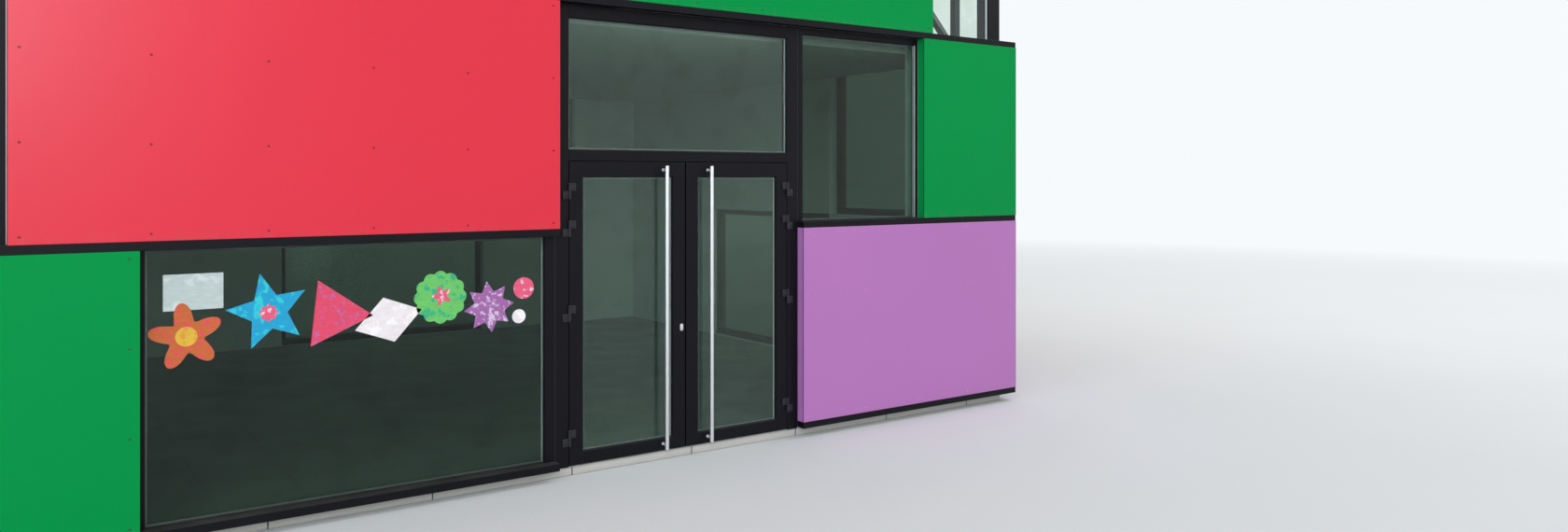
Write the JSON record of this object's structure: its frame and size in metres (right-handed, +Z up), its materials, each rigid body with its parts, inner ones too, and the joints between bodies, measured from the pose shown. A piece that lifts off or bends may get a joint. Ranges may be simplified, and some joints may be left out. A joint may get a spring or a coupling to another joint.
{
  "type": "school building",
  "caption": "Flat-roofed school building with coloured facing boards between black bands, large windows, a glazed corner and a glazed entrance whose leaves swing outwards.",
  "frame": {"origin": "under the middle of the building, at the foot of its concrete base", "axes": "+X along the entrance front to the right, +Y into the building, +Z up"},
  "size_m": [11.83, 8.53, 7.655],
  "materials": {
    "concrete": "cast concrete",
    "floor_finish": "satin sheet",
    "roof_membrane": "matt sheet",
    "black_metal": "satin powder coat",
    "dark_steel": "painted",
    "threshold_metal": "worn",
    "stainless_steel": "brushed",
    "window_glass": "clear",
    "red_laminate": "satin",
    "green_laminate": "satin",
    "purple_laminate": "satin",
    "white_plaster": "painted"
  },
  "bodies": {
    "building": {"back_wall": "white_plaster", "base_flashing": "black_metal", "concrete_base": "concrete", "corner_post": "black_metal", "corner_window_frame": "black_metal", "corner_window_glass": "window_glass", "door_frame": "black_metal", "door_stops": "black_metal", "front_green_boards": "green_laminate", "front_purple_boards": "purple_laminate", "front_red_boards": "red_laminate", "front_wall_left": "white_plaster", "front_wall_right": "white_plaster", "front_wall_upper": "white_plaster", "front_window_frames": "black_metal", "front_window_glass": "window_glass", "hall_floor": "floor_finish", "left_frame_hinges": "black_metal", "left_wall": "white_plaster", "lower_band": "black_metal", "right_frame_hinges": "black_metal", "right_wall": "white_plaster", "roof_covering": "roof_membrane", "roof_deck": "concrete", "roof_edge_cap": "black_metal", "side_green_boards": "green_laminate", "side_purple_boards": "purple_laminate", "side_red_boards": "red_laminate", "side_window_frames": "black_metal", "side_window_glass": "window_glass", "steel_column": "dark_steel", "storey_band": "black_metal", "threshold": "threshold_metal", "transom_glass": "window_glass", "upper_band": "black_metal", "upper_floor": "concrete", "wind_brace": "dark_steel"},
    "left_door": {"left_door_leaf": "black_metal", "left_door_glass": "window_glass", "left_pull_handle": "stainless_steel", "left_leaf_hinges": "black_metal", "lock_cylinder": "stainless_steel"},
    "right_door": {"right_door_leaf": "black_metal", "right_door_glass": "window_glass", "right_pull_handle": "stainless_steel", "right_leaf_hinges": "black_metal"}
  },
  "joints": [
    {"name": "left_door_swing", "type": "hinge", "parent": "building", "child": "left_door", "pos_m": [0.686, -4.163, 1.3], "axis": [0, 0, -1], "range_deg": [0, 90]},
    {"name": "right_door_swing", "type": "hinge", "parent": "building", "child": "right_door", "pos_m": [2.879, -4.163, 1.3], "axis": [0, 0, 1], "range_deg": [0, 90]}
  ]
}
